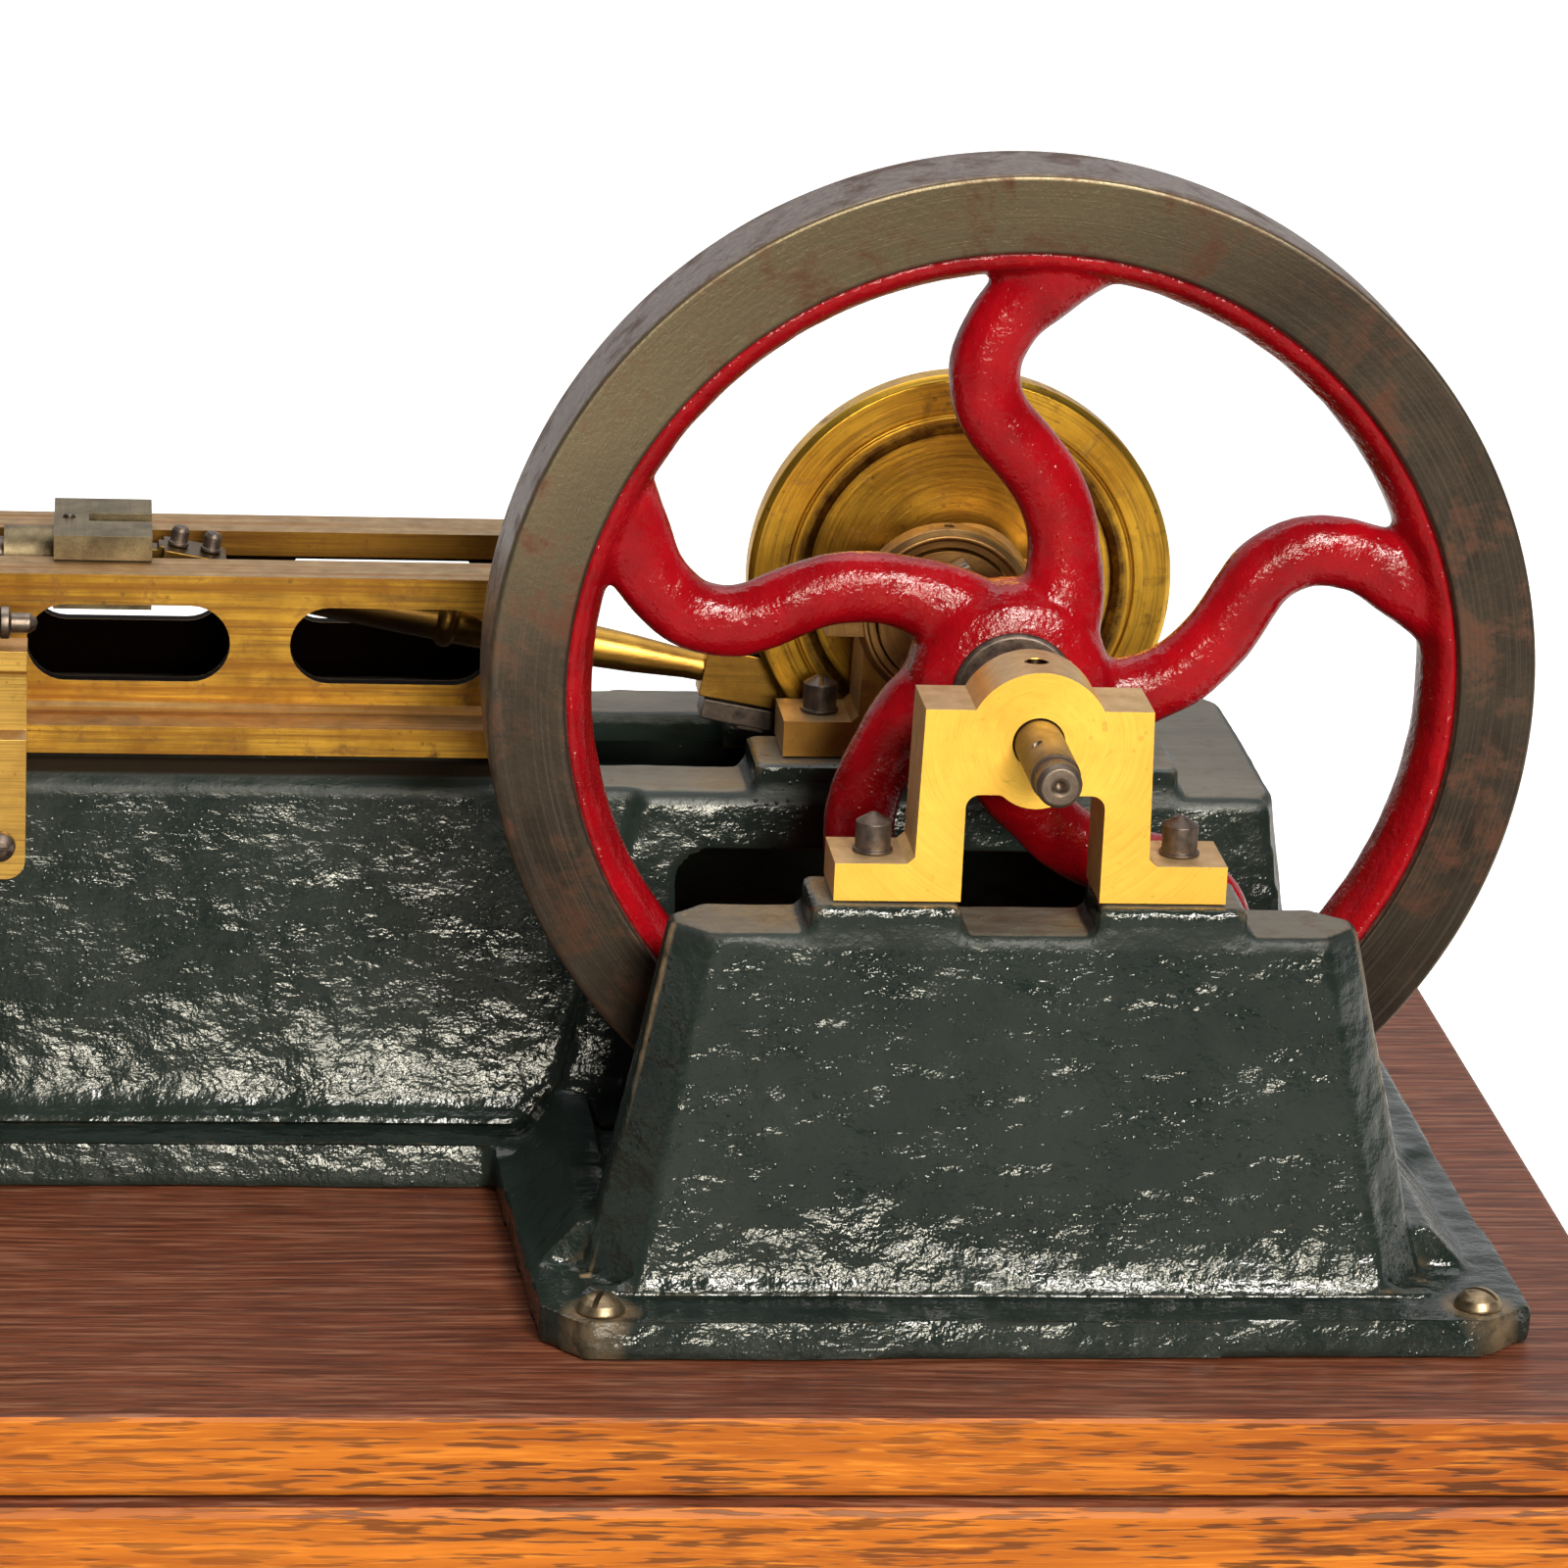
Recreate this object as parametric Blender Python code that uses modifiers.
"""Model horizontal mill steam engine on a wooden baseboard.

Frame: +X runs along the engine from the cylinder to the crank, +Y away from the
flywheel side, +Z up.  The origin is on the underside of the plinth, below the
point where the crankshaft axis crosses the engine's centre plane.  Sizes are in
millimetres, and z is measured from the crankshaft axis unless a comment says
otherwise.

In object names, the front of the cylinder is its crank end (+X) and its rear is
the -X end; the front guide is on the flywheel side (-Y), the rear guide on +Y.
"""
import math

import bmesh
import bpy
from mathutils import Matrix, Vector

for old in list(bpy.data.objects):
    bpy.data.objects.remove(old, do_unlink=True)

ENGINE = bpy.data.collections.new("model_steam_engine")
CUTTERS = bpy.data.collections.new("cutters")
bpy.context.scene.collection.children.link(ENGINE)
bpy.context.scene.collection.children.link(CUTTERS)

MM = 0.001
FACET_SHARE = 0.45       # rounds are drawn with this share of the facets asked for
SMOOTH_ANGLE = math.radians(35)

# ----------------------------------------------------------------- dimensions
SHAFT_Z = 112.0          # crankshaft height over the underside
GAP = 0.3                # running and seating clearance
HEAD_GAP = 0.1           # between a screw head and the face under it

# wooden base, z measured from the underside
PLINTH_X = (-312.0, 92.5)
PLINTH_Y = (-136.1, 68.0)
PLINTH_TOP = 13.7
BOARD_INSET = 2.0
BOARD_TOP = 26.0

# bed casting
FLANGE_BOTTOM = -85.7
FLANGE_TOP = -79.0
FLANGE_HALF = 45.4
BED_TOP = -28.0
SEAT = -23.7             # top of the machined pads
FEET = SEAT + GAP        # underside of the parts that stand on the pads
BED_LEFT, BED_RIGHT = -262.0, 47.5
BED_HALF = 27.0          # half width at the top
BED_DRAFT = 0.155        # side slope of the casting
PED_PLATE_TOP = -80.2    # foot plate of the outboard pedestal

# flywheel
WHEEL_R = 76.2
WHEEL_Y0, WHEEL_Y1 = -71.6, -53.7
WHEEL_MID = (WHEEL_Y0 + WHEEL_Y1) / 2
WHEEL_HALF = (WHEEL_Y1 - WHEEL_Y0) / 2
RIM_INNER = 65.0
SPOKES = 5
SPOKE_HALF = 5.3

# crankshaft and bearings
SHAFT_R = 3.5
SHAFT_END = -117.1       # y of the shaft's free end
BORE_R = 3.8
BEARING_T = 12.6
OUTBOARD_Y = -96.0
MAIN_Y = -24.8
FOOT_HALF = 28.0
FOOT_TOP = FEET + 5.5
BODY_HALF = 16.2
SHOULDER = 4.8
ARCH_R = 10.3
BOLT_X = 22.0

# crank and connecting rod
DISC_R = 32.7
DISC_Y = (-9.2, -3.7)
PIN_END = 6.2
THROW = 25.4
ROD_LEN = 116.8
ROD_ANGLE = math.radians(10.2)
PIN_Z = -ROD_LEN * math.sin(ROD_ANGLE)
PIN_X = -math.sqrt(THROW ** 2 - PIN_Z ** 2)
GUDGEON_X = PIN_X - ROD_LEN * math.cos(ROD_ANGLE)

# eccentric
ECC_X, ECC_Y, ECC_Z = -5.6, -33.6, 1.9
STRAP_R = 13.4
SHEAVE_R = 10.4
SET_SCREW_Y = ECC_Y - 6.1
SET_SCREW_TURN = math.radians(90) - math.radians(117)   # about Y, from upright

# crosshead guides
GUIDE_X0, GUIDE_X1 = -166.0, -63.0
GUIDE_FOOT = 27.9
GUIDE_FOOT_TOP = FEET + 4.3
GUIDE_SCREW_X = (GUIDE_X0 + 5.0, GUIDE_X1 - 4.5)
GUIDE_SCREW_Y = 23.4
WALL_OUT, WALL_IN = 18.7, 16.1
BAR_IN = 8.5
BAR_TOP, BAR_BOTTOM = 1.75, -2.5

# crosshead
CROSS_X = (GUDGEON_X - 8.45, GUDGEON_X + 6.35)
CROSS_BOTTOM, CROSS_TOP = -5.6, 5.8
COTTER_X = GUDGEON_X - 6.2

# cylinder
CYL_X0, CYL_X1 = -245.0, -176.0
CYL_MID = (CYL_X0 + CYL_X1) / 2
BORE_CYL = 12.7
BARREL_R = 17.0
CYL_FLANGE_R = 21.5
CYL_FLANGE_T = 4.5
CYL_FOOT_TOP = FEET + 4.5
COVER_T = 4.6            # from the cylinder's end to the cover's outer face
GLAND_SEAT = CYL_X1 + 11.0
PISTON_OFFSET = 93.0
# name, x, y of the bolts that hold the cylinder down
CYL_BOLTS = (("front", CYL_MID + 21.5, -16.0), ("rear", CYL_MID - 21.5, 16.0))
PORT_FACE_Y = -23.0
PORT_Z = (-6.0, 3.0)
EXHAUST_FACE_Y = BARREL_R + 3.3

# steam chest and valve
CHEST_X0, CHEST_X1 = CYL_MID - 24.5, CYL_MID + 24.5
CHEST_Z0, CHEST_Z1 = -14.0, 14.0
CHEST_FACE_Y = -41.0
CHEST_COVER_Y = -45.0
INLET_Y = -32.0
VALVE_Y, VALVE_Z = ECC_Y, -1.8
SPINDLE_TIP_X = -140.2
BRACKET_FACE_Y = -36.4
BRACKET_SCREW_X, BRACKET_SCREW_Z = -145.5, -35.4

PALETTE = {
    "mahogany": dict(colour=(0.16, 0.05, 0.03), roughness=0.35, metallic=0.0),
    "green_iron": dict(colour=(0.02, 0.035, 0.03), roughness=0.3, metallic=0.0),
    "brass": dict(colour=(0.72, 0.48, 0.16), roughness=0.32, metallic=1.0),
    "brass_turned": dict(colour=(0.62, 0.40, 0.14), roughness=0.38, metallic=1.0),
    "steel": dict(colour=(0.38, 0.36, 0.33), roughness=0.35, metallic=1.0),
    "steel_dark": dict(colour=(0.10, 0.095, 0.09), roughness=0.4, metallic=1.0),
    "red_enamel": dict(colour=(0.50, 0.015, 0.02), roughness=0.2, metallic=0.0),
    "green_enamel": dict(colour=(0.03, 0.06, 0.045), roughness=0.25, metallic=0.0),
}


# -------------------------------------------------------------------- helpers
def material(name, colour, roughness, metallic):
    made = bpy.data.materials.new(name)
    made.use_nodes = True
    inputs = made.node_tree.nodes["Principled BSDF"].inputs
    inputs["Base Color"].default_value = (*colour, 1.0)
    inputs["Roughness"].default_value = roughness
    inputs["Metallic"].default_value = metallic
    made.diffuse_color = (*colour, 1.0)
    return made


def facets(count):
    return count if count <= 8 else max(10, 2 * round(count * FACET_SHARE / 2))


def world(x, y, z):
    """Point in metres; z is given relative to the shaft axis."""
    return Vector((x, y, z + SHAFT_Z)) * MM


def span(centre, half):
    return centre - half, centre + half


def smooth(mesh):
    mesh.shade_smooth()
    mesh.set_sharp_from_angle(angle=SMOOTH_ANGLE)


def place(mesh, name, finish):
    """Link a mesh as a finished piece or, without a finish, as a cutter."""
    ob = bpy.data.objects.new(name, mesh)
    if finish is None:
        CUTTERS.objects.link(ob)
        ob.hide_render = True
        ob.display_type = "WIRE"
    else:
        ENGINE.objects.link(ob)
        mesh.materials.append(material(f"{name}_{finish}", **PALETTE[finish]))
    return ob


def to_mesh(shape, name):
    mesh = bpy.data.meshes.new(name)
    shape.to_mesh(mesh)
    shape.free()
    return mesh


def add_bevel(ob, width, segments=2):
    bevel = ob.modifiers.new("edges", "BEVEL")
    bevel.width = width * MM
    bevel.segments = segments
    bevel.limit_method = "ANGLE"
    bevel.angle_limit = math.radians(40)
    bevel.harden_normals = False


def combine(target, pieces, operation):
    for piece in pieces:
        boolean = target.modifiers.new(f"{operation.lower()}_{piece.name[:40]}", "BOOLEAN")
        boolean.operation = operation
        boolean.solver = "EXACT"
        boolean.object = piece


def join(target, *pieces):
    combine(target, pieces, "UNION")


def cut(target, *pieces):
    combine(target, pieces, "DIFFERENCE")


def block(name, x_span, y_span, z_span, finish=None, bevel=0.0, segments=2,
          corners=0.0, taper_x=(0.0, 0.0), taper_y=(0.0, 0.0)):
    """Box over three spans.

    corners rounds the upright edges; taper_x and taper_y shift the bottom edges
    at the low and high end of that axis, for the draft of a casting.
    """
    spans = (x_span, y_span, z_span)
    size = Vector([end - start for start, end in spans]) * MM
    centre = world(*[(start + end) / 2 for start, end in spans])
    shape = bmesh.new()
    bmesh.ops.create_cube(shape, size=1.0)
    for v in shape.verts:
        v.co = Vector((v.co.x * size.x, v.co.y * size.y, v.co.z * size.z)) + centre
    if corners:
        upright = [e for e in shape.edges
                   if abs(e.verts[0].co.x - e.verts[1].co.x) < 1e-9
                   and abs(e.verts[0].co.y - e.verts[1].co.y) < 1e-9]
        bmesh.ops.bevel(shape, geom=upright, offset=corners * MM, segments=5,
                        affect="EDGES", profile=0.5)
    if any(taper_x) or any(taper_y):
        half_x, half_y = size.x / 2, size.y / 2
        for v in shape.verts:
            if v.co.z < centre.z:
                along = (v.co.x - centre.x) / half_x
                across = (v.co.y - centre.y) / half_y
                v.co.x += MM * (taper_x[1] * max(along, 0) - taper_x[0] * min(along, 0))
                v.co.y += MM * (taper_y[1] * max(across, 0) - taper_y[0] * min(across, 0))
    bmesh.ops.recalc_face_normals(shape, faces=shape.faces)
    ob = place(to_mesh(shape, name), name, finish)
    if bevel:
        add_bevel(ob, bevel, segments)
    return ob


# turn local +Z onto each main axis
AXES = {
    "X": Matrix.Rotation(math.radians(90), 4, "Y"),
    "Y": Matrix.Rotation(math.radians(-90), 4, "X"),
    "Z": Matrix.Identity(4),
}


def rod(name, start, axis, radius, length, finish=None, seg=24, end_radius=None):
    """Round bar from start along a main axis."""
    shape = bmesh.new()
    bmesh.ops.create_cone(shape, cap_ends=True, segments=facets(seg), radius1=radius * MM,
                          radius2=(radius if end_radius is None else end_radius) * MM,
                          depth=length * MM)
    bmesh.ops.translate(shape, verts=shape.verts, vec=(0, 0, length * MM / 2))
    mesh = to_mesh(shape, name)
    smooth(mesh)
    ob = place(mesh, name, finish)
    ob.matrix_world = Matrix.Translation(world(*start)) @ AXES[axis]
    return ob


def turned(name, profile, origin, axis, finish=None, steps=40):
    """Solid of revolution.  The profile lists (radius, height along the axis)."""
    mesh = bpy.data.meshes.new(name)
    points = [Vector((r * MM, 0, h * MM)) for r, h in profile]
    edges = [(i, i + 1) for i in range(len(points) - 1)]
    if profile[0][0] > 0 and profile[-1][0] > 0:
        edges.append((len(points) - 1, 0))
    mesh.from_pydata(points, edges, [])
    ob = place(mesh, name, finish)
    ob.matrix_world = Matrix.Translation(world(*origin)) @ AXES[axis]
    screw = ob.modifiers.new("turn", "SCREW")
    screw.axis = "Z"
    screw.steps = facets(steps)
    screw.render_steps = facets(steps)
    screw.use_merge_vertices = True
    screw.merge_threshold = 0.00001
    screw.use_smooth_shade = True
    return ob


def poly_spline(curve, points):
    """Add a straight-sided spline through points, and return it."""
    spline = curve.splines.new("POLY")
    spline.points.add(len(points) - 1)
    for point, (a, b) in zip(spline.points, points):
        point.co = (a * MM, b * MM, 0, 1)
    return spline


def curve_mesh(curve):
    """Mesh of a curve, taken through a short-lived object."""
    carrier = bpy.data.objects.new(curve.name, curve)
    CUTTERS.objects.link(carrier)
    bpy.context.view_layer.update()
    depsgraph = bpy.context.evaluated_depsgraph_get()
    mesh = bpy.data.meshes.new_from_object(carrier.evaluated_get(depsgraph))
    bpy.data.objects.remove(carrier, do_unlink=True)
    return mesh


def weld(shape):
    bmesh.ops.remove_doubles(shape, verts=shape.verts, dist=0.000005)


def flat(name, outline, depths, axis, finish=None, bevel=0.0):
    """Flat outline extruded between two depths.

    axis "Y": the outline is (x, z) and depth is y.  axis "X": (y, z), depth x.
    axis "Z": (x, y), depth z.
    """
    curve = bpy.data.curves.new(name, "CURVE")
    curve.dimensions = "2D"
    curve.fill_mode = "BOTH"
    curve.extrude = (depths[1] - depths[0]) / 2 * MM
    poly_spline(curve, outline).use_cyclic_u = True
    mesh = curve_mesh(curve)
    mid = (depths[0] + depths[1]) / 2 * MM
    z = SHAFT_Z * MM
    if axis == "Y":
        basis = Matrix(((1, 0, 0, 0), (0, 0, -1, mid), (0, 1, 0, z), (0, 0, 0, 1)))
    elif axis == "X":
        basis = Matrix(((0, 0, 1, mid), (1, 0, 0, 0), (0, 1, 0, z), (0, 0, 0, 1)))
    else:
        basis = Matrix(((1, 0, 0, 0), (0, 1, 0, 0), (0, 0, 1, mid + z), (0, 0, 0, 1)))
    mesh.transform(basis)
    mesh.name = name
    shape = bmesh.new()
    shape.from_mesh(mesh)
    weld(shape)
    bmesh.ops.dissolve_limit(shape, angle_limit=math.radians(1), verts=shape.verts,
                             edges=shape.edges)
    bmesh.ops.recalc_face_normals(shape, faces=shape.faces)
    shape.to_mesh(mesh)
    shape.free()
    ob = place(mesh, name, finish)
    if bevel:
        add_bevel(ob, bevel)
    return ob


def arc(centre_a, centre_b, radius, start, end, count):
    """count + 1 points from start to end, in degrees."""
    angles = [math.radians(start + (end - start) * i / count) for i in range(count + 1)]
    return [(centre_a + radius * math.cos(angle), centre_b + radius * math.sin(angle))
            for angle in angles]


def stadium(x0, x1, z0, z1):
    """Slot outline with half-round ends."""
    radius = (z1 - z0) / 2
    mid = (z0 + z1) / 2
    return arc(x1 - radius, mid, radius, -90, 90, 6) + arc(x0 + radius, mid, radius, 90, 270, 6)


# ----------------------------------------------------------------- wooden base
def wooden_base():
    """Plinth, and the baseboard on it, which is returned."""
    block("plinth", PLINTH_X, PLINTH_Y, (-SHAFT_Z, PLINTH_TOP - SHAFT_Z), "mahogany",
          bevel=2.0)
    return block("baseboard", (PLINTH_X[0] + BOARD_INSET, PLINTH_X[1] - BOARD_INSET),
                 (PLINTH_Y[0] + BOARD_INSET, PLINTH_Y[1] - BOARD_INSET),
                 (PLINTH_TOP + GAP - SHAFT_Z, BOARD_TOP - SHAFT_Z), "mahogany", bevel=0.9)


# ----------------------------------------------------------------- bed casting
PAD_Z = (BED_TOP - 1.0, SEAT)
# x span, y span of the pads on the bed: cylinder, guides, both main bearing feet
BED_PADS = (
    ((CYL_X0 - 5.0, CYL_X1 + 7.0), (-25.5, 25.5)),
    ((GUIDE_X0 - 1.5, GUIDE_X1 + 1.5), (-BED_HALF + 0.05, BED_HALF - 0.05)),
    ((-32.5, -9.7), (-26.2, -11.7)),
    ((9.7, 32.5), (-26.2, -11.7)),
)
PEDESTAL_PADS_X = ((-31.2, -9.7), (9.7, 31.2))
# (x, y) outline of the pedestal's foot plate
PEDESTAL_PLATE = [(-68.4, -106.8), (-62.2, -114.6), (66.8, -112.4),
                  (74.8, -105.6), (73.0, -40.0), (-71.5, -40.0)]
# x span and bottom shifts of the saddles
SADDLES = (((-66.5, -60.0), (-6.0, 3.0)), ((60.0, 66.5), (-3.0, 6.0)))
PIT_Z = (BED_TOP - 12.0, SEAT + 4.0)
PIT_LEFT = -58.0
SIDE_ARCH_X = (-44.0, 33.0)
SIDE_ARCH_R = 5.0        # rounding of the opening's upper corners
SIDE_ARCH_SPRING = -42.0


def engine_bed():
    """Tapered box with a flange all round, open underneath, and its pedestal."""
    slope = BED_DRAFT * (BED_TOP - FLANGE_TOP)
    bed = block("engine_bed", (BED_LEFT, BED_RIGHT), span(0, BED_HALF),
                (FLANGE_BOTTOM, BED_TOP), "green_iron", corners=3.0,
                taper_x=(-9.0, 8.5), taper_y=(-slope, slope))
    join(bed, block("bed_flange", (-286.0, 73.0), span(0, FLANGE_HALF),
                    (FLANGE_BOTTOM, FLANGE_TOP), corners=6.0))
    for k, (x_span, y_span) in enumerate(BED_PADS):
        join(bed, block(f"bed_pad_{k}", x_span, y_span, PAD_Z))
    add_pedestal(bed)
    hollow_bed(bed, slope)
    return bed


def add_pedestal(bed):
    """Drafted wall under the outboard bearing, with a foot plate of its own."""
    join(bed,
         block("pedestal_wall", (-50.5, 48.0), (-97.6, -82.6), (FLANGE_BOTTOM + 1.0, BED_TOP),
               corners=6.6, taper_x=(-11.5, 13.5), taper_y=(-4.2, 3.8)),
         flat("pedestal_plate", PEDESTAL_PLATE, (FLANGE_BOTTOM, PED_PLATE_TOP), "Z"))
    for k, x_span in enumerate(PEDESTAL_PADS_X):
        join(bed, block(f"pedestal_pad_{k}", x_span, (-97.0, -83.0), PAD_Z))
    # saddles join the pedestal to the bed at both ends of the flywheel well
    for k, (x_span, shifts) in enumerate(SADDLES):
        join(bed, block(f"saddle_{k}", x_span, (-92.0, -30.0), (-82.0, -69.0),
                        taper_x=shifts))


def hollow_bed(bed, slope):
    """Core, crank pit through the top, and arched opening on the flywheel side."""
    wall = 4.0
    draft = slope - 0.5
    left, right = SIDE_ARCH_X
    arch = [(left, -76.0), (right, -76.0)] \
        + arc(right - SIDE_ARCH_R, SIDE_ARCH_SPRING, SIDE_ARCH_R, 0, 90, 4) \
        + arc(left + SIDE_ARCH_R, SIDE_ARCH_SPRING, SIDE_ARCH_R, 90, 180, 4)
    cut(bed,
        block("bed_core", (BED_LEFT + wall, BED_RIGHT - wall), span(0, BED_HALF - wall),
              (FLANGE_BOTTOM - 2.0, BED_TOP - 5.0), taper_x=(-7.0, 7.0),
              taper_y=(-draft, draft)),
        block("crank_pit", (PIT_LEFT, 31.0), (-11.2, 11.2), PIT_Z, corners=2.0),
        block("crank_pit_wide", (PIT_LEFT, -33.5), (-14.2, 14.2), PIT_Z, corners=2.0),
        flat("side_arch", arch, (-40.0, -4.0), "Y"))


# ------------------------------------------------------------ bearing pedestals
LEG_IN = 9.9             # inner face of the bearing's legs
LEG_FILLET = 2.0
FILLET_Z = -9.6
# (radius, height over the foot) of the round-head bolt
BEARING_BOLT = [(0, 5.6), (1.0, 5.5), (2.45, 4.4), (2.45, 0.0), (1.5, 0.0),
                (1.5, -8.6), (0, -8.6)]


def bearing_outline():
    """(x, z) of the feet, two legs with an opening between, and an arched top."""
    start = math.degrees(math.asin(SHOULDER / ARCH_R))
    fillet_x = LEG_IN - LEG_FILLET
    return [(-FOOT_HALF, FEET), (-LEG_IN, FEET)] \
        + arc(-fillet_x, FILLET_Z, LEG_FILLET, 180, 90, 3) \
        + [(-5.2, -7.9), (-2.6, -9.2), (2.6, -9.2), (5.2, -7.9)] \
        + arc(fillet_x, FILLET_Z, LEG_FILLET, 90, 0, 3) \
        + [(LEG_IN, FEET), (FOOT_HALF, FEET), (FOOT_HALF, FOOT_TOP),
           (BODY_HALF + 0.5, FOOT_TOP), (BODY_HALF, SHOULDER)] \
        + arc(0, 0, ARCH_R, start, 180 - start, 10) \
        + [(-BODY_HALF, SHOULDER), (-BODY_HALF - 0.5, FOOT_TOP), (-FOOT_HALF, FOOT_TOP)]


def bearing(tag, y_start, bed, slotted):
    """Brass bearing with its two bolts and their tapped holes in the bed."""
    name = f"{tag}_bearing"
    y_mid = y_start + BEARING_T / 2
    ob = flat(name, bearing_outline(), (y_start, y_start + BEARING_T), "Y", "brass")
    cut(ob,
        rod(f"{name}_bore", (0, y_start - 2, 0), "Y", BORE_R, BEARING_T + 4, seg=40),
        rod(f"{name}_oil", (0, y_mid, 2.0), "Z", 1.9, 12.0, seg=16))
    seat = FOOT_TOP + HEAD_GAP
    for side, sign in (("left", -1), ("right", 1)):
        x = sign * BOLT_X
        cut(ob, rod(f"{name}_stud_{sign + 1}", (x, y_mid, FEET - 2), "Z", 1.8,
                    FOOT_TOP - FEET + 4, seg=16))
        cut(bed, rod(f"{name}_tap_{sign + 1}", (x, y_mid, BED_TOP - 4.0), "Z", 1.8, 12.0,
                     seg=16))
        bolt_name = f"{tag}_bolt_{side}"
        bolt = turned(bolt_name, BEARING_BOLT, (x, y_mid, seat), "Z", "steel_dark", steps=20)
        if slotted:
            cut(bolt, block(f"{bolt_name}_slot", span(x, 0.35), span(y_mid, 4),
                            (seat + 4.5, seat + 7)))


# ------------------------------------------------------------ holding-down screws
WOOD_HEAD_R = 3.45
# (radius, height over the seat)
WOOD_SCREW = [(0, 2.6), (WOOD_HEAD_R * 0.6, 2.1), (WOOD_HEAD_R, 0.35), (WOOD_HEAD_R, 0.0),
              (1.3, 0.0), (1.3, -9.5), (0, -11.0)]
# name, x, y, height of the seat
WOOD_SCREWS = (
    ("pedestal_screw_left", -59.8, -109.2, PED_PLATE_TOP),
    ("pedestal_screw_right", 66.6, -106.4, PED_PLATE_TOP),
    ("bed_screw_front", -268.0, -38.5, FLANGE_TOP),
    ("bed_screw_rear_left", -268.0, 38.5, FLANGE_TOP),
    ("bed_screw_rear_right", 66.0, 38.5, FLANGE_TOP),
)


def wood_screw(name, x, y, seat, bed, board):
    """Round-head slotted screw through the casting into the board."""
    ob = turned(name, WOOD_SCREW, (x, y, seat + HEAD_GAP), "Z", "steel", steps=24)
    cut(ob, block(f"{name}_slot", span(x, WOOD_HEAD_R + 1), span(y, 0.4),
                  (seat + 1.5, seat + 4)))
    for target, bottom, length in ((bed, seat - 9, 10.0), (board, seat - 14, 11.0)):
        cut(target, rod(f"{name}_hole_{target.name[:5]}", (x, y, bottom), "Z", 1.7, length,
                        seg=14))


# --------------------------------------------------------------- crosshead guides
GUIDE_WINDOWS_X = ((-142.0, -111.6), (-102.6, -72.2))
GUIDE_WINDOW_Z = (-14.7, -2.9)
# (radius, height over the foot)
GUIDE_SCREW = [(0, 1.9), (1.2, 1.7), (2.1, 0.8), (2.3, 0.0), (1.1, 0.0), (1.1, -7.0),
               (0, -7.0)]


def guide(side, sign, bed):
    """Channel with a foot outside and a slide bar inside; sign is its side in y."""
    name = f"{side}_guide"
    section = [(GUIDE_FOOT, FEET), (GUIDE_FOOT, GUIDE_FOOT_TOP), (WALL_OUT, GUIDE_FOOT_TOP),
               (WALL_OUT, BAR_TOP), (BAR_IN, BAR_TOP), (BAR_IN, BAR_BOTTOM),
               (WALL_IN, BAR_BOTTOM), (WALL_IN, FEET)]
    ob = flat(name, [(sign * y, z) for y, z in section], (GUIDE_X0, GUIDE_X1), "X", "brass",
              bevel=0.25)
    for k, window_x in enumerate(GUIDE_WINDOWS_X):
        depths = sorted((sign * (WALL_OUT + 3), sign * (WALL_IN - 3)))
        cut(ob, flat(f"{name}_window_{k}", stadium(*window_x, *GUIDE_WINDOW_Z), depths, "Y"))
    y = sign * GUIDE_SCREW_Y
    for k, x in enumerate(reversed(GUIDE_SCREW_X)):
        cut(ob, rod(f"{name}_hole_{k}", (x, y, FEET - 2), "Z", 1.4, 9, seg=14))
        cut(bed, rod(f"{name}_tap_{k}", (x, y, SEAT - 7), "Z", 1.4, 9, seg=14))
    seat = GUIDE_FOOT_TOP + HEAD_GAP
    for k, x in enumerate(GUIDE_SCREW_X):
        screw_name = f"{name}_screw_{k + 1}"
        screw = turned(screw_name, GUIDE_SCREW, (x, y, seat), "Z", "steel_dark", steps=20)
        cut(screw, block(f"{screw_name}_slot", span(x, 3), span(y, 0.3),
                         (seat + 1.1, seat + 3)))


# ----------------------------------------------------------------------- cylinder
# x span, y span, z span of the foot, the neck over it, and the valve face block
CYLINDER_BLOCKS = (
    (span(CYL_MID, 25.5), (-20.0, 20.0), (FEET, CYL_FOOT_TOP)),
    (span(CYL_MID, 19.5), (-10.0, 10.0), (FEET + 1.0, -14.5)),
    (span(CYL_MID, 23.5), (PORT_FACE_Y, -13.3), (-13.0, 13.0)),
)
COVER_NUTS = 4
COVER_NUT_CIRCLE = 18.2
# (radius, x from the nut's seat): domed stud end, nut, shank
COVER_NUT = [(0, 4.0), (1.2, 3.6), (1.2, 2.4), (2.3, 2.1), (2.3, 0.0), (1.2, 0.0),
             (1.2, -8.0), (0, -8.0)]
# (radius, x from the end of the cover's boss)
GLAND = [(5.6, 5.4), (6.6, 4.6), (6.6, 0.4), (4.2, 0.4), (4.2, -6.4), (2.8, -6.4),
         (2.8, 5.4)]
# (radius, height over the foot)
CYLINDER_BOLT = [(0, 2.4), (2.0, 2.2), (2.4, 1.7), (2.4, 0.0), (1.2, 0.0), (1.2, -10.0),
                 (0, -10.0)]


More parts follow.
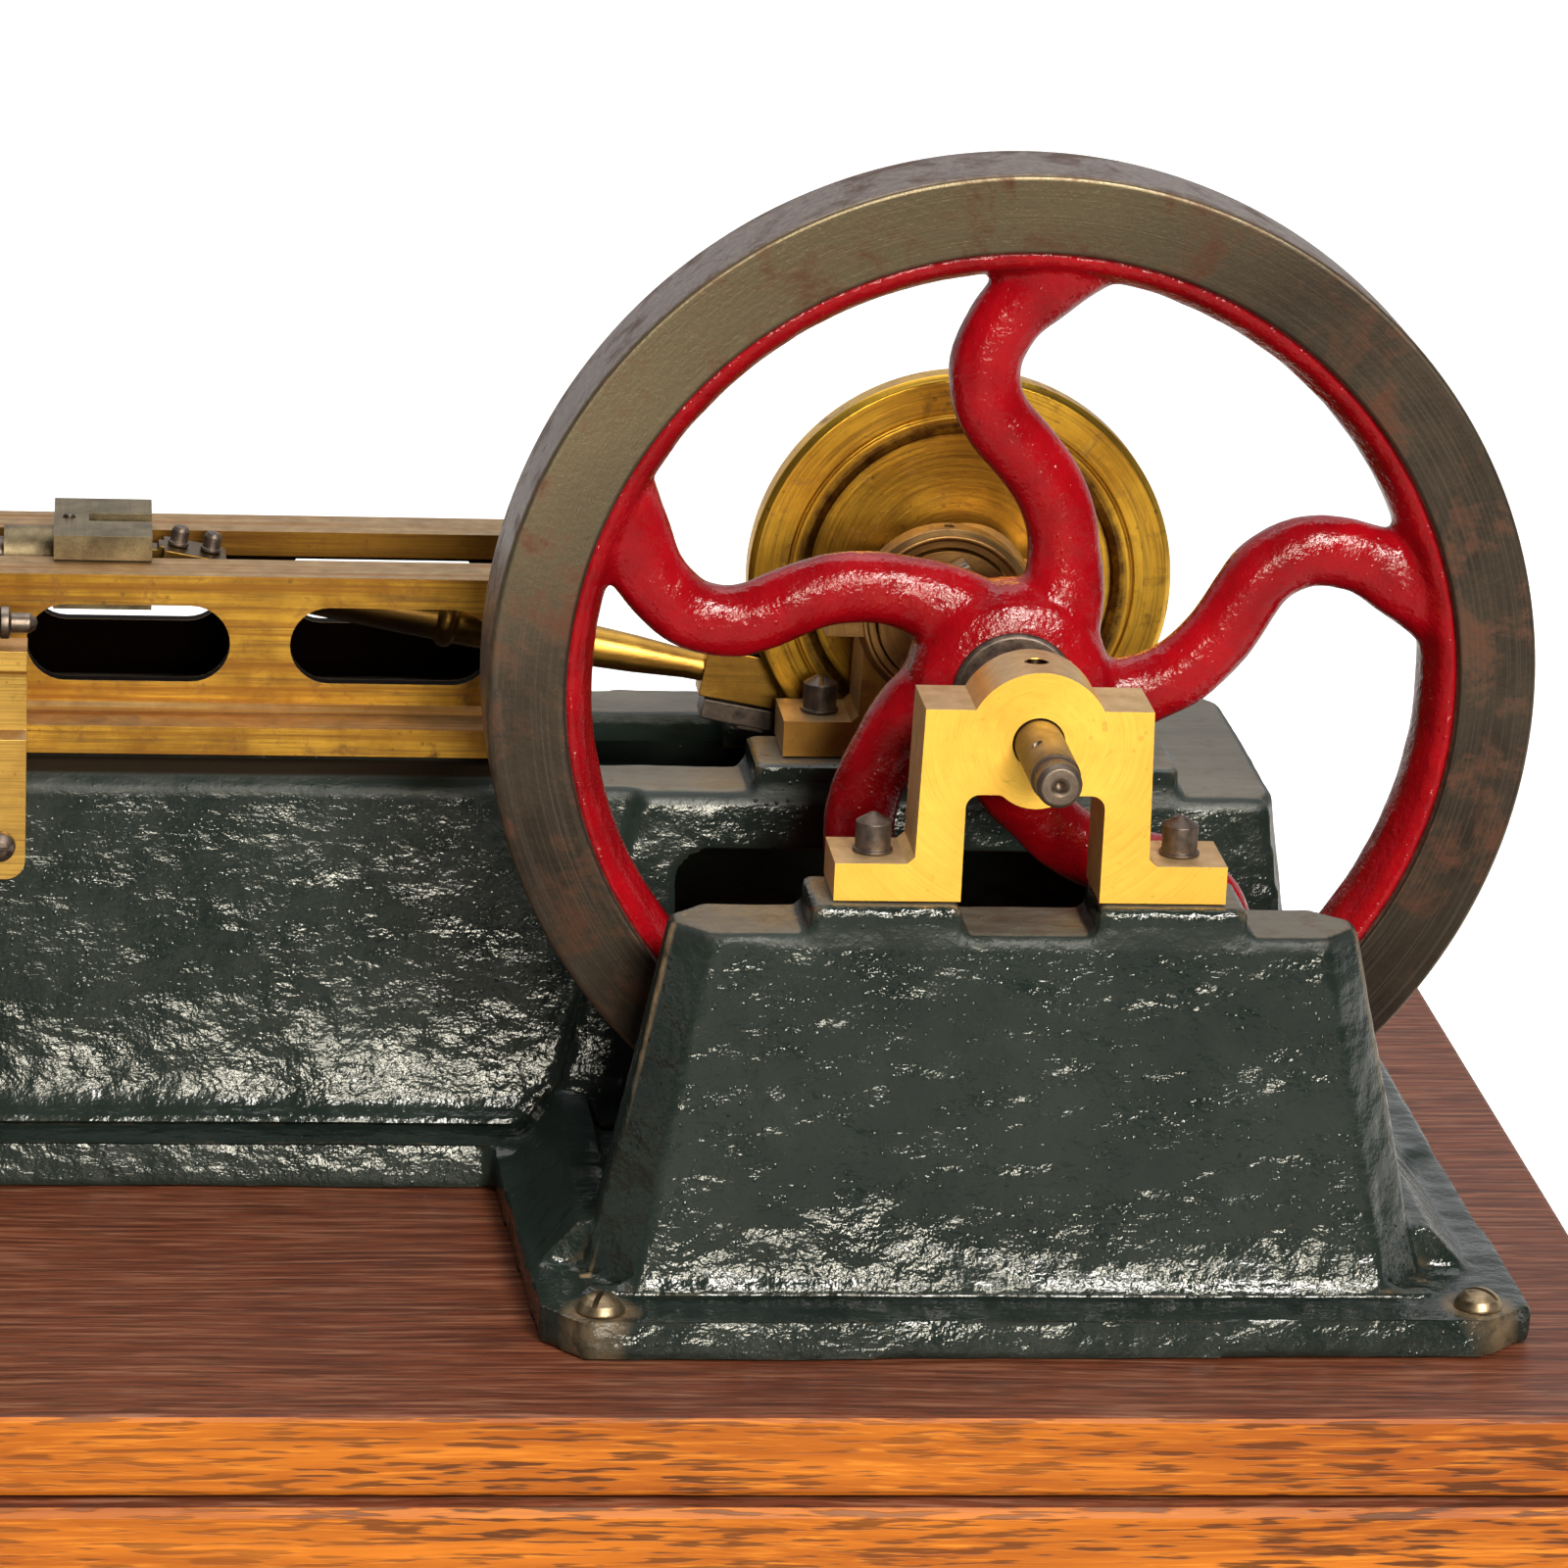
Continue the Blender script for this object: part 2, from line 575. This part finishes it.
def cylinder(bed):
    inner0, inner1 = CYL_X0 + CYL_FLANGE_T, CYL_X1 - CYL_FLANGE_T
    ob = turned("cylinder", [
        (CYL_FLANGE_R, CYL_X1), (CYL_FLANGE_R, inner1), (BARREL_R, inner1),
        (BARREL_R, inner0), (CYL_FLANGE_R, inner0), (CYL_FLANGE_R, CYL_X0),
        (BORE_CYL, CYL_X0), (BORE_CYL, CYL_X1)], (0, 0, 0), "X", "green_enamel", steps=48)
    for k, spans in enumerate(CYLINDER_BLOCKS):
        join(ob, block(f"cylinder_block_{k}", *spans))
    # steam ports open into the bore; the exhaust recess lies between them
    for k, x in enumerate((CYL_MID - 9.5, CYL_MID + 9.5)):
        cut(ob, block(f"steam_port_{k}", span(x, 1.5), (PORT_FACE_Y - 1.0, -10.5), PORT_Z))
    cut(ob, block("exhaust_port", span(CYL_MID, 3.0), (PORT_FACE_Y - 1.0, -17.6), PORT_Z))
    for tag, x, y in CYL_BOLTS:
        cut(ob, rod(f"cyl_bolt_hole_{tag}", (x, y, SEAT - 2), "Z", 1.5, 9, seg=14))
        cut(bed, rod(f"cyl_tap_{tag}", (x, y, SEAT - 7), "Z", 1.5, 9, seg=14))
        turned(f"cylinder_bolt_{tag}", CYLINDER_BOLT, (x, y, CYL_FOOT_TOP + HEAD_GAP), "Z",
               "steel_dark", steps=6)
    return ob


def rear_cover():
    """Cap with a spigot in the bore and a hexagon outside."""
    spigot_r = BORE_CYL - GAP
    ob = turned("rear_cylinder_cover", [
        (0, CYL_X0 + 3.8), (spigot_r, CYL_X0 + 3.8), (spigot_r, CYL_X0 - GAP),
        (CYL_FLANGE_R, CYL_X0 - GAP), (CYL_FLANGE_R, CYL_X0 - COVER_T),
        (CYL_FLANGE_R - 3.0, CYL_X0 - 5.6), (0, CYL_X0 - 5.6)],
        (0, 0, 0), "X", "brass_turned", steps=48)
    join(ob, flat("rear_cover_hexagon", arc(0, 0, 7.0, 0, 300, 5),
                  (CYL_X0 - 9.0, CYL_X0 - 4.0), "X"))


def front_cover(barrel):
    """Plate with a spigot in the bore, a gland boss, and its nuts."""
    spigot_r = BORE_CYL - GAP
    rod_hole_r, gland_r, boss_r = 2.9, 4.6, 6.4
    ob = turned("front_cylinder_cover", [
        (boss_r, GLAND_SEAT), (boss_r, CYL_X1 + COVER_T), (CYL_FLANGE_R, CYL_X1 + COVER_T),
        (CYL_FLANGE_R, CYL_X1 + GAP), (spigot_r, CYL_X1 + GAP), (spigot_r, CYL_X1 - 2.4),
        (rod_hole_r, CYL_X1 - 2.4), (rod_hole_r, CYL_X1 + 2.0), (gland_r, CYL_X1 + 2.0),
        (gland_r, GLAND_SEAT)], (0, 0, 0), "X", "brass_turned", steps=48)
    for k in range(COVER_NUTS):
        angle = math.radians(45 + 360 / COVER_NUTS * k)
        y, z = COVER_NUT_CIRCLE * math.cos(angle), COVER_NUT_CIRCLE * math.sin(angle)
        name = f"front_cover_nut_{k + 1}"
        turned(name, COVER_NUT, (CYL_X1 + COVER_T + 0.2, y, z), "X", "steel_dark", steps=6)
        for target in (ob, barrel):
            cut(target, rod(f"{name}_hole_{target.name[:4]}", (CYL_X1 - 7.3, y, z), "X", 1.5,
                            13.0, seg=14))


def piston_rod_gland():
    turned("piston_rod_gland", GLAND, (GLAND_SEAT, 0, 0), "X", "brass_turned", steps=32)


# ------------------------------------------------------------- steam chest, valve
# (radius, y from the head's seat): shank, then head
CHEST_BOLT = [(0, 16.0), (1.0, 16.0), (1.0, 0.0), (2.1, 0.0), (2.1, -1.8), (1.6, -2.3),
              (0, -2.3)]
# (radius, x from the free end): rounded tip, collar, plain rod
SPINDLE = [(0, 0.0), (0.9, -0.3), (1.5, -1.2), (1.5, -3.9), (2.4, -4.2), (2.4, -5.4),
           (1.5, -5.7), (1.5, -82.0), (0, -82.0)]
LOCK_NUT = [(2.9, 3.0), (3.3, 2.6), (3.3, 0.4), (2.9, 0.0), (1.8, 0.0), (1.8, 3.0)]
# (y, z) outline of the bracket
BRACKET = [
    (-33.0, -39.0), (-31.4, -40.6), (-29.6, -40.6), (-29.6, -19.0), (-30.6, -18.4),
    (-31.2, -9.4), (-28.8, -8.7), (-28.8, -5.4), (-36.6, -5.4), (-36.6, -8.4),
    (-34.9, -8.9), (-34.4, -10.0), (-34.4, -18.0), (-36.4, -19.0), (-36.4, -39.0)]
# (radius, y from the head's seat): shank, then head
BRACKET_SCREW = [(0, 7.0), (1.2, 7.0), (1.2, 0.0), (2.4, 0.0), (2.2, -0.9), (1.2, -1.6),
                 (0, -1.8)]


def steam_chest():
    """Box on the valve face, with its cover and two bolts."""
    chest_x, chest_z = (CHEST_X0, CHEST_X1), (CHEST_Z0, CHEST_Z1)
    chest = block("steam_chest", chest_x, (CHEST_FACE_Y, PORT_FACE_Y - GAP), chest_z,
                  "green_enamel", bevel=0.5)
    cut(chest, block("chest_cavity", (CHEST_X0 + 6, CHEST_X1 - 6), (-44.0, -20.0),
                     (CHEST_Z0 + 5, CHEST_Z1 - 5)))
    join(chest, rod("chest_boss", (CHEST_X1 - 2, VALVE_Y, VALVE_Z), "X", 4.2, 8.0, seg=28))
    cut(chest,
        rod("chest_gland_bore", (CHEST_X1 - 8, VALVE_Y, VALVE_Z), "X", 2.0, 20, seg=20),
        rod("chest_inlet", (CYL_MID, INLET_Y, 8), "Z", 3.0, 10, seg=20))
    cover = block("steam_chest_cover", chest_x, (CHEST_COVER_Y, CHEST_FACE_Y - GAP), chest_z,
                  "brass", bevel=0.5)
    for k, (x, z) in enumerate(((CHEST_X0 + 3, CHEST_Z0 + 3), (CHEST_X1 - 3, CHEST_Z1 - 3))):
        for target in (cover, chest):
            cut(target, rod(f"chest_bolt_hole_{k}_{target.name[-5:]}",
                            (x, CHEST_COVER_Y - 2.0, z), "Y", 1.3, 20.0, seg=12))
        turned(f"chest_bolt_{k + 1}", CHEST_BOLT, (x, CHEST_COVER_Y - HEAD_GAP, z), "Y",
               "steel_dark", steps=6)


def slide_valve():
    """Box hollow on the port face, its spindle and a lock nut."""
    valve = block("slide_valve", (-219.0, -202.0), (VALVE_Y - 4.0, PORT_FACE_Y - GAP),
                  (-7.5, 4.5), "brass", bevel=0.3)
    cut(valve,
        block("valve_recess", (-214.5, -206.5), (-27.5, -20.0), (-5.5, 2.5)),
        rod("valve_spindle_hole", (-225, VALVE_Y, VALVE_Z), "X", 1.8, 30, seg=20))
    turned("valve_spindle", SPINDLE, (SPINDLE_TIP_X, VALVE_Y, VALVE_Z), "X", "steel",
           steps=20)
    turned("spindle_lock_nut", LOCK_NUT, (SPINDLE_TIP_X - 9.2, VALVE_Y, VALVE_Z), "X",
           "steel", steps=6)


def spindle_bracket(bed):
    """Bracket on the side of the bed that steadies the spindle, and its screw."""
    bracket = flat("spindle_bracket", BRACKET, (-165.5, -141.7), "X", "brass")
    boss = [(-36.4, -6.0), (-30.8, -6.0)] + arc(VALVE_Y, VALVE_Z, 3.4, 0, 180, 8)
    join(bracket, flat("bracket_boss", boss, (-164.0, -156.0), "X"))
    x, z = BRACKET_SCREW_X, BRACKET_SCREW_Z
    cut(bracket,
        rod("bracket_bore", (-170.0, VALVE_Y, VALVE_Z), "X", 1.8, 30, seg=20),
        rod("bracket_screw_hole", (x, -40.0, z), "Y", 1.5, 14, seg=14))
    cut(bed, rod("bracket_tap", (x, -34.0, z), "Y", 1.5, 14, seg=14))
    screw = turned("bracket_screw", BRACKET_SCREW, (x, BRACKET_FACE_Y - HEAD_GAP, z), "Y",
                   "steel_dark", steps=20)
    cut(screw, block("bracket_screw_slot", span(x, 3.5), (-39.6, -37.5), span(z, 0.3)))


# ----------------------------------------------------------------- steam pipework
# (radius, height over the seat)
INLET_PIPE = [(3.0, 24.0), (4.6, 24.0), (4.6, 20.5), (3.0, 20.5), (3.0, 3.0), (6.0, 3.0),
              (6.0, 0.0), (2.2, 0.0), (2.2, 24.0)]
EXHAUST_PIPE = [(5.0, 34.0), (5.0, 31.0), (3.4, 31.0), (3.4, 3.0), (6.0, 3.0), (6.0, 0.0),
                (2.4, 0.0), (2.4, 34.0)]


def pipework(barrel):
    """Inlet on top of the chest, and exhaust on a pad on the barrel's +Y side."""
    turned("steam_inlet_pipe", INLET_PIPE, (CYL_MID, INLET_Y, CHEST_Z1 + GAP), "Z",
           "brass_turned", steps=28)
    turned("exhaust_pipe", EXHAUST_PIPE, (CYL_MID, EXHAUST_FACE_Y + GAP, 0), "Y",
           "brass_turned", steps=28)
    pad_start = 13.6
    join(barrel, rod("exhaust_pad", (CYL_MID, pad_start, 0), "Y", 6.5,
                     EXHAUST_FACE_Y - pad_start, seg=28))
    cut(barrel, rod("exhaust_tap", (CYL_MID, 15.5, 0), "Y", 2.4, 10, seg=16))


# --------------------------------------------------------- crankshaft and flywheel
def crankshaft():
    """Shaft with a reduced free end and a centre hole in it."""
    reduced_r = SHAFT_R - 0.25
    shaft = turned("crankshaft", [
        (0, DISC_Y[1]), (SHAFT_R, DISC_Y[1]), (SHAFT_R, SHAFT_END + 4.0),
        (reduced_r, SHAFT_END + 4.0), (reduced_r, SHAFT_END + 0.5),
        (SHAFT_R - 0.7, SHAFT_END), (0.75, SHAFT_END), (0.0, SHAFT_END + 1.6)],
        (0, 0, 0), "Y", "steel", steps=40)
    cut(shaft,
        rod("shaft_dimple", (-2.0, -106.0, 4.2), "Z", 1.1, 2.0, seg=16, end_radius=1.4),
        block("shaft_keyway", (-1.15, 1.15), (WHEEL_Y0 + 1.2, WHEEL_Y1 + 3.2), (2.3, 5.0)))


# (radius, angle in degrees) of a spoke's centre line, from the hub to the rim
SPOKE_LINE = ((11.0, -36.0), (17.0, -26.4), (24.0, -16.2), (31.0, -5.9),
              (38.0, 4.5), (44.0, 7.2), (50.0, 5.6),
              (56.0, 1.1), (63.0, -4.5))
SPOKE_FLATTEN = 0.72     # thickness along the shaft over width in the wheel's plane


def wheel_point(radius, angle, spoke):
    turn = math.radians(90 + 360 / SPOKES * spoke + angle)
    return radius * math.cos(turn), radius * math.sin(turn)


def spoke_swell(radius):
    """Share by which a spoke is thicker near the rim and near the hub."""
    near_rim = max(0.0, (radius - 53.0) / 10.0)
    near_hub = max(0.0, (22.0 - radius) / 11.0)
    return 1.0 + 0.45 * near_rim ** 1.5 + 0.25 * near_hub


def spoke(number):
    """Curved spoke, flattened along the shaft."""
    name = f"spoke_{number}"
    curve = bpy.data.curves.new(name, "CURVE")
    curve.dimensions = "3D"
    curve.bevel_depth = SPOKE_HALF * MM
    curve.bevel_resolution = 1
    curve.use_fill_caps = True
    line = poly_spline(curve, [wheel_point(r, angle, number) for r, angle in SPOKE_LINE])
    for point, (radius, _) in zip(line.points, SPOKE_LINE):
        point.radius = spoke_swell(radius)
    mesh = curve_mesh(curve)
    shape = bmesh.new()
    shape.from_mesh(mesh)
    weld(shape)
    for v in shape.verts:
        v.co = Vector((v.co.x, WHEEL_MID * MM + v.co.z * SPOKE_FLATTEN,
                       v.co.y + SHAFT_Z * MM))
    bmesh.ops.recalc_face_normals(shape, faces=shape.faces)
    shape.to_mesh(mesh)
    shape.free()
    mesh.name = name
    return place(mesh, name, None)


def flywheel():
    """Turned rim with a raised inner belt, curved spokes, turned hub, and the key."""
    half = WHEEL_HALF
    belt_edge, belt = RIM_INNER - 1.6, RIM_INNER - 4.6
    rim = [(WHEEL_R - 0.8, half), (WHEEL_R, half - 0.8), (WHEEL_R, -half + 0.8),
           (WHEEL_R - 0.8, -half), (RIM_INNER, -half), (belt_edge, -half + 1.0),
           (belt, -2.2), (belt, 2.2), (belt_edge, half - 1.0), (RIM_INNER, half)]
    hub_bore = SHAFT_R + 0.3
    hub = [(9.6, half - 0.2), (13.9, half - 3.8), (14.6, 0.0), (13.9, -half + 3.8),
           (9.6, -half + 0.2), (hub_bore, -half + 0.2), (hub_bore, half - 0.2)]
    wheel = turned("flywheel", rim, (0, WHEEL_MID, 0), "Y", "red_enamel", steps=100)
    for k in range(SPOKES):
        join(wheel, spoke(k))
    join(wheel, turned("flywheel_hub", hub, (0, WHEEL_MID, 0), "Y", steps=40))
    cut(wheel, block("hub_keyway", (-1.2, 1.2), (WHEEL_Y0 - 2, WHEEL_Y1 + 2), (1.0, 5.2)))
    block("flywheel_key", (-0.85, 0.85), (WHEEL_Y0 + 1.6, WHEEL_Y1 + 2.6), (2.6, 4.9),
          "steel_dark", bevel=0.15, segments=1)


def crank_disc():
    """Disc on the shaft; its flywheel-side face (-Y) is recessed between hub and rim."""
    bore = SHAFT_R + 0.35
    thick = DISC_Y[1] - DISC_Y[0]
    turned("crank_disc", [
        (bore, thick), (DISC_R - 0.5, thick), (DISC_R, thick - 0.5), (DISC_R, 0.5),
        (DISC_R - 0.5, 0.0), (25.1, 0.0), (23.6, 0.9), (8.5, 0.9), (8.5, 0.0), (bore, 0.0)],
        (0, DISC_Y[0], 0), "Y", "brass_turned", steps=64)


def crank_pin():
    """Pin with a collar at its +Y end; the other end stops clear of the disc."""
    pin_start = DISC_Y[1] + GAP
    turned("crank_pin", [(0, PIN_END), (4.4, PIN_END), (5.0, PIN_END - 0.6), (5.0, 3.4),
                         (3.0, 3.4), (3.0, pin_start), (0, pin_start)],
           (PIN_X, 0, PIN_Z), "Y", "steel", steps=28)


# ---------------------------------------------------------------------- eccentric
# (radius, distance from the shaft axis): head, then shank
SET_SCREW = [(0, 12.4), (2.6, 12.2), (3.0, 11.8), (3.0, 7.9), (0.85, 7.9), (0.85, 4.2),
             (0, 4.2)]


def eccentric_sheave():
    """Sheave with a hub and a square-headed set screw."""
    sheave = rod("eccentric_sheave", (ECC_X, ECC_Y - 3.6, ECC_Z), "Y", SHEAVE_R, 6.6,
                 "brass_turned", seg=48)
    join(sheave, rod("sheave_hub", (0, ECC_Y - 8.4, 0), "Y", 6.6, 5.1, seg=36))
    cut(sheave, rod("sheave_bore", (0, ECC_Y - 12, 0), "Y", SHAFT_R + 0.3, 24, seg=36))
    outward = Matrix.Translation(world(0, SET_SCREW_Y, 0)) \
        @ Matrix.Rotation(SET_SCREW_TURN, 4, "Y")
    tap = rod("sheave_tap", (0, SET_SCREW_Y, 0), "Z", 1.15, 12, seg=14)
    tap.matrix_world = outward
    cut(sheave, tap)
    screw = turned("eccentric_set_screw", SET_SCREW, (0, 0, 0), "Z", "steel", steps=4)
    screw.matrix_world = outward @ Matrix.Rotation(math.radians(45), 4, "Z")


def eccentric_strap():
    """Ring round the sheave, with a drilled lug on its cylinder side (-X)."""
    half, bore = 2.9, SHEAVE_R + GAP
    strap = turned("eccentric_strap", [
        (STRAP_R - 0.4, half), (STRAP_R, 2.5), (STRAP_R, -2.5), (STRAP_R - 0.4, -half),
        (bore, -half), (bore, half)], (ECC_X, ECC_Y, ECC_Z), "Y", "brass_turned", steps=48)
    join(strap, block("strap_lug", (ECC_X - 18.0, ECC_X - 12.0), span(ECC_Y, 2.7),
                      span(ECC_Z, 3.2)))
    cut(strap,
        rod("strap_lug_hole", (ECC_X - 20.0, ECC_Y, ECC_Z), "X", 1.2, 5.0, seg=14),
        rod("strap_oil_hole", (ECC_X, ECC_Y, ECC_Z + 8.0), "Z", 0.8, 8.0, seg=12))


# ---------------------------------------------------------- crosshead and piston
def cotter_bore(name):
    return rod(name, (COTTER_X, 0, -8), "Z", 1.1, 16, seg=16)


def crosshead():
    """Block between the guides, with plates over and under the bars, and its pins."""
    cross = block("crosshead", CROSS_X, (-8.2, 8.2), (CROSS_BOTTOM, CROSS_TOP), "steel")
    for level, z_span in (("top", (BAR_TOP + GAP, CROSS_TOP)),
                          ("bottom", (CROSS_BOTTOM, BAR_BOTTOM - GAP))):
        join(cross, block(f"crosshead_{level}_plate", CROSS_X, (-11.5, 11.5), z_span))
    join(cross, rod("crosshead_boss", (GUDGEON_X - 16.0, 0, 0), "X", 4.3, 9.0, seg=32))
    cut(cross,
        block("crosshead_slot", (GUDGEON_X - 3.2, GUDGEON_X + 8.0), (-2.3, 2.3), (-8.0, 8.0)),
        rod("piston_rod_socket", (GUDGEON_X - 20.0, 0, 0), "X", 2.8, 15.4, seg=24),
        rod("gudgeon_bore", (GUDGEON_X, -14, 0), "Y", 1.7, 28, seg=20),
        cotter_bore("cotter_bore"))
    turned("crosshead_cotter", [(0, 6.5), (0.75, 6.35), (0.75, -7.0), (0, -7.2)],
           (COTTER_X, 0, 0), "Z", "steel_dark", steps=16)
    turned("gudgeon_pin", [(0, 7.9), (1.35, 7.7), (1.35, -7.7), (0, -7.9)],
           (GUDGEON_X, 0, 0), "Y", "steel", steps=20)


def piston_rod():
    """Rod from the crosshead, reduced where it enters the piston's far face."""
    step, end = -PISTON_OFFSET - 2.7, -PISTON_OFFSET - 4.6
    ob = turned("piston_rod", [(0, -5.0), (2.5, -5.0), (2.5, step), (1.6, step), (1.6, end),
                               (0, end)], (GUDGEON_X, 0, 0), "X", "steel", steps=28)
    cut(ob, cotter_bore("piston_rod_cotter_hole"))


def piston():
    """Piston with one ring groove."""
    radius, groove = BORE_CYL - 0.4, BORE_CYL - 1.4
    turned("piston", [(2.8, 4.4), (radius, 4.4), (radius, 2.8), (groove, 2.6), (groove, 1.0),
                      (radius, 0.8), (radius, -4.4), (1.9, -4.4), (1.9, -3.8), (2.8, -3.0)],
           (GUDGEON_X - PISTON_OFFSET, 0, 0), "X", "brass_turned", steps=40)


# -------------------------------------------------------------- connecting rod
# Its pieces are drawn along +X from the gudgeon at x = 0, then moved by along_rod.
# (radius, x) of the shank, with a bead near the middle
SHANK = [(0, 96.0), (2.2, 96.0), (2.25, 90.0), (2.9, 82.0), (3.35, 72.0), (3.65, 57.5),
         (3.7, 53.6), (4.3, 53.1), (4.5, 52.4), (4.3, 51.7), (3.65, 51.2), (3.6, 45.0),
         (3.35, 32.0), (2.8, 20.0), (2.3, 14.0), (0, 14.0)]
# (x, z) outline of the tongue that enters the crosshead
TONGUE = [(14.8, -3.0), (16.6, -2.0), (16.6, 2.4), (15.4, 3.3), (6.9, 3.3), (6.9, 2.6)] \
    + arc(0, 0, 2.6, 90, 270, 8) + [(6.9, -2.6), (6.9, -3.0)]
# (radius, height over the block)
SMALL_END_BOLT = [(0, 3.0), (1.1, 2.8), (1.35, 2.3), (1.35, 0.0), (0.65, 0.0),
                  (0.65, -6.0), (0, -6.0)]
SMALL_END_BOLTS_X = (9.9, 14.9)
BIG_STRAP_OUT, BIG_STRAP_IN = 7.4, 4.2
BIG_STRAP_START = ROD_LEN - 23.0
BRASS_HALF = 3.9
BIG_COTTER_X = ROD_LEN - 14.5


def along_rod(ob):
    """Move a piece from the shaft-level origin onto the rod's line."""
    tilt = Matrix.Translation(world(GUDGEON_X, 0, 0)) @ Matrix.Rotation(ROD_ANGLE, 4, "Y")
    drop = Matrix.Translation(Vector((0, 0, -SHAFT_Z)) * MM)
    ob.matrix_world = tilt @ drop @ ob.matrix_world
    return ob


def connecting_rod():
    """Shank with its tongue, block and butt, and the small-end bolts."""
    ob = along_rod(turned("connecting_rod", SHANK, (0, 0, 0), "X", "brass", steps=32))
    join(ob,
         along_rod(flat("rod_tongue", TONGUE, (-2.0, 2.0), "Y")),
         along_rod(block("rod_small_block", (7.7, 17.4), (-4.4, 4.4), (-3.0, 3.4))),
         along_rod(block("rod_butt", (ROD_LEN - 24.0, ROD_LEN - 7.6), (-3.1, 3.1),
                         (-3.9, 3.9), bevel=0.8)))
    cut(ob, along_rod(rod("rod_gudgeon_hole", (0, -6, 0), "Y", 1.65, 12, seg=20)))
    for k, x in enumerate(SMALL_END_BOLTS_X):
        cut(ob, along_rod(rod(f"rod_bolt_hole_{k}", (x, 0, -6), "Z", 0.95, 14, seg=12)))
        along_rod(turned(f"small_end_bolt_{k + 1}", SMALL_END_BOLT, (x, 0, 3.5), "Z",
                         "steel_dark", steps=16))
    return ob


def big_end(conrod):
    """Strap round the brass, held on the rod's butt by a cotter."""
    outline = [(BIG_STRAP_START, -BIG_STRAP_OUT)] \
        + arc(ROD_LEN, 0, BIG_STRAP_OUT, -90, 90, 12) \
        + [(BIG_STRAP_START, BIG_STRAP_OUT), (BIG_STRAP_START, BIG_STRAP_IN)] \
        + arc(ROD_LEN, 0, BIG_STRAP_IN, 90, -90, 10) \
        + [(BIG_STRAP_START, -BIG_STRAP_IN)]
    strap = along_rod(flat("big_end_strap", outline, (-3.1, 3.1), "Y", "steel_dark",
                           bevel=0.25))
    brass_start = ROD_LEN - 7.3
    outline = [(brass_start, -BRASS_HALF)] + arc(ROD_LEN, 0, BRASS_HALF, -90, 90, 10) \
        + [(brass_start, BRASS_HALF)]
    brass = along_rod(flat("big_end_brass", outline, (-3.0, 3.0), "Y", "brass"))
    cut(brass, along_rod(rod("big_end_bore", (ROD_LEN, -6, 0), "Y", 3.3, 12, seg=28)))
    for target in (strap, conrod):
        cut(target, along_rod(block(f"cotter_slot_{target.name[:4]}",
                                    span(BIG_COTTER_X, 2.3), (-0.9, 0.9), (-10, 10))))
    along_rod(block("big_end_cotter", span(BIG_COTTER_X, 2.0), (-0.6, 0.6), (-8.6, 9.4),
                    "steel_dark", bevel=0.15, segments=1))


# -------------------------------------------------------------- moving assemblies
# pivot: its point, and the pieces it carries
PIVOTS = {
    "crank_axis": ((0, 0, 0), (
        "crankshaft", "flywheel", "flywheel_key", "crank_disc", "eccentric_sheave",
        "eccentric_set_screw")),
    "rod_axis": ((GUDGEON_X, 0, 0), (
        "connecting_rod", "small_end_bolt_1", "small_end_bolt_2", "big_end_strap",
        "big_end_brass", "big_end_cotter", "crank_pin")),
    "slide_axis": ((GUDGEON_X, 0, 0), (
        "crosshead", "crosshead_cotter", "gudgeon_pin", "piston_rod", "piston")),
    "valve_axis": ((SPINDLE_TIP_X, VALVE_Y, VALVE_Z), (
        "valve_spindle", "slide_valve", "spindle_lock_nut")),
    "strap_axis": ((ECC_X, ECC_Y, ECC_Z), ("eccentric_strap",)),
}


def pivot(name, point, children):
    """Empty that carries its children without moving them."""
    empty = bpy.data.objects.new(name, None)
    empty.empty_display_size = 0.01
    empty.location = world(*point)
    ENGINE.objects.link(empty)
    bpy.context.view_layer.update()
    for child in children:
        ob = bpy.data.objects[child]
        ob.parent = empty
        ob.matrix_parent_inverse = empty.matrix_world.inverted()


def build():
    board = wooden_base()
    bed = engine_bed()
    bearing("outboard", OUTBOARD_Y, bed, slotted=False)
    bearing("main", MAIN_Y, bed, slotted=True)
    for screw in WOOD_SCREWS:
        wood_screw(*screw, bed, board)
    guide("front", -1, bed)
    guide("rear", 1, bed)

    barrel = cylinder(bed)
    rear_cover()
    front_cover(barrel)
    piston_rod_gland()
    steam_chest()
    slide_valve()
    spindle_bracket(bed)
    pipework(barrel)

    crankshaft()
    flywheel()
    crank_disc()
    crank_pin()
    eccentric_sheave()
    eccentric_strap()
    crosshead()
    piston_rod()
    piston()
    big_end(connecting_rod())

    for name, (point, children) in PIVOTS.items():
        pivot(name, point, children)
    for ob in ENGINE.objects:
        if ob.type == "MESH" and len(ob.data.polygons):
            smooth(ob.data)


build()
